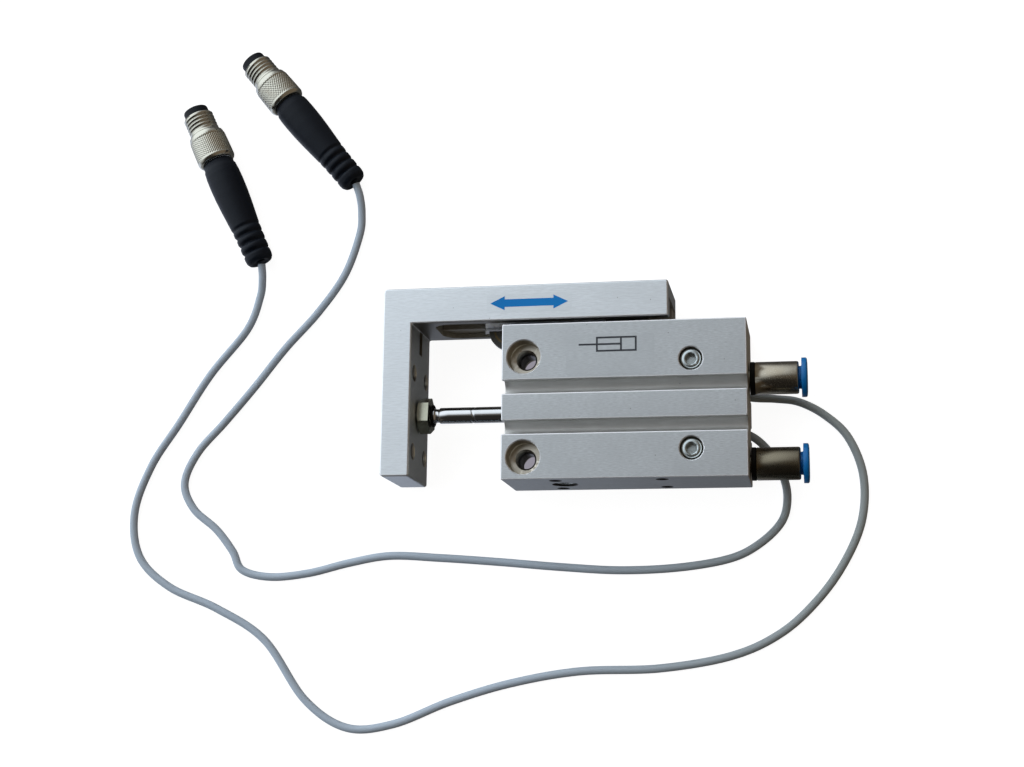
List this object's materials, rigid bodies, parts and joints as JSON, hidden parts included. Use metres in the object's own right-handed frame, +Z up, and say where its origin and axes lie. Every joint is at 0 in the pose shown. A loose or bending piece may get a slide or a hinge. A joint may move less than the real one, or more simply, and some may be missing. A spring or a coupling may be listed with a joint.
{
  "type": "pneumatic mini slide",
  "caption": "Small pneumatic guided slide: block cylinder with an L-shaped yoke on a side ball guide, push-in fittings, and proximity sensors on M8 plug leads.",
  "frame": {"origin": "on the housing's back face (the wide face the slide is screwed down on), under the cylinder's axis and halfway along the housing", "axes": "+X from the yoke towards the push-in fittings, along the stroke; +Y from the open side towards the guide and the yoke's long leg; +Z up from the back face to the top face"},
  "size_m": [0.1875, 0.1779, 0.02],
  "materials": {
    "anodised_aluminium": "satin, fine grain along the extrusion, clear anodised",
    "bright_aluminium": "satin, lightly brushed, clear anodised",
    "hardened_steel": "ground",
    "chromed_steel": "hard chromed and polished",
    "nickel_plated_brass": "nickel plated, polished",
    "brass": "turned",
    "zinc_plated_steel": "zinc plated, slightly blue",
    "black_rubber": "matt",
    "black_plastic": "matt moulded",
    "black_overmould": "soft satin moulded polyurethane",
    "blue_plastic": "moulded, semi-gloss",
    "grey_cable_jacket": "satin jacket",
    "gold_plated_contact": "gold plated"
  },
  "bodies": {
    "housing_body": {"housing": "anodised_aluminium", "front_bearing_cap": "brass", "rod_seal": "black_rubber", "cap_o_ring": "black_rubber", "retaining_ring": "hardened_steel", "front_cushion": "black_rubber", "rear_cushion": "black_rubber", "top_port_plug_1": "zinc_plated_steel", "top_port_plug_2": "zinc_plated_steel", "side_port_plug": "zinc_plated_steel", "guide_rail": "hardened_steel", "rail_clamp_screw_1": "hardened_steel", "rail_clamp_screw_2": "hardened_steel", "rail_end_cap_front": "black_plastic", "rail_end_cap_rear": "black_plastic", "port_fitting_1": "nickel_plated_brass", "port_fitting_2": "nickel_plated_brass", "fitting_gasket_1": "black_rubber", "fitting_gasket_2": "black_rubber", "tube_seal_1": "black_rubber", "tube_seal_2": "black_rubber", "tube_collet_1": "hardened_steel", "tube_collet_2": "hardened_steel", "sensor_1": "black_plastic", "sensor_2": "black_plastic", "sensor_screw_1": "zinc_plated_steel", "sensor_screw_2": "zinc_plated_steel", "cable_1": "grey_cable_jacket", "cable_2": "grey_cable_jacket", "connector_grip_1": "black_overmould", "connector_grip_2": "black_overmould", "contact_carrier_1": "black_plastic", "contact_carrier_2": "black_plastic", "contact_pin_1_a": "gold_plated_contact", "contact_pin_1_b": "gold_plated_contact", "contact_pin_1_c": "gold_plated_contact", "contact_pin_2_a": "gold_plated_contact", "contact_pin_2_b": "gold_plated_contact", "contact_pin_2_c": "gold_plated_contact"},
    "carriage": {"yoke": "bright_aluminium", "race_strip_upper": "hardened_steel", "race_strip_lower": "hardened_steel", "piston_rod": "chromed_steel", "rod_nut": "nickel_plated_brass", "rod_collar": "black_rubber", "piston": "anodised_aluminium", "piston_seal": "black_rubber", "piston_magnet": "hardened_steel", "piston_nut": "hardened_steel"},
    "cage": {"ball_cage": "zinc_plated_steel"},
    "ring_1": {"release_ring_1": "blue_plastic"},
    "ring_2": {"release_ring_2": "blue_plastic"},
    "nut_1": {"coupling_nut_1": "nickel_plated_brass"},
    "nut_2": {"coupling_nut_2": "nickel_plated_brass"}
  },
  "joints": [
    {"name": "carriage_slide", "type": "slide", "parent": "housing_body", "child": "carriage", "axis": [1, 0, 0], "range_m": [0, 0.02]},
    {"name": "cage_slide", "type": "slide", "parent": "housing_body", "child": "cage", "axis": [1, 0, 0], "range_m": [0, 0.01]},
    {"name": "release_ring_1_press", "type": "slide", "parent": "housing_body", "child": "ring_1", "axis": [-1, 0, 0], "range_m": [0, 0.0006], "stiffness_N_per_m": 1500},
    {"name": "release_ring_2_press", "type": "slide", "parent": "housing_body", "child": "ring_2", "axis": [-1, 0, 0], "range_m": [0, 0.0006], "stiffness_N_per_m": 1500},
    {"name": "coupling_nut_1_turn", "type": "hinge", "parent": "housing_body", "child": "nut_1", "pos_m": [-0.11242, 0.07633, 0.00524], "axis": [0.4183, -0.9074, -0.0408], "continuous": true},
    {"name": "coupling_nut_2_turn", "type": "hinge", "parent": "housing_body", "child": "nut_2", "pos_m": [-0.09482, 0.09091, 0.00523], "axis": [0.6383, -0.7686, -0.042], "continuous": true}
  ],
  "couplings": [
    {"joint": "cage_slide", "follows": "carriage_slide", "ratio": 0.5}
  ]
}
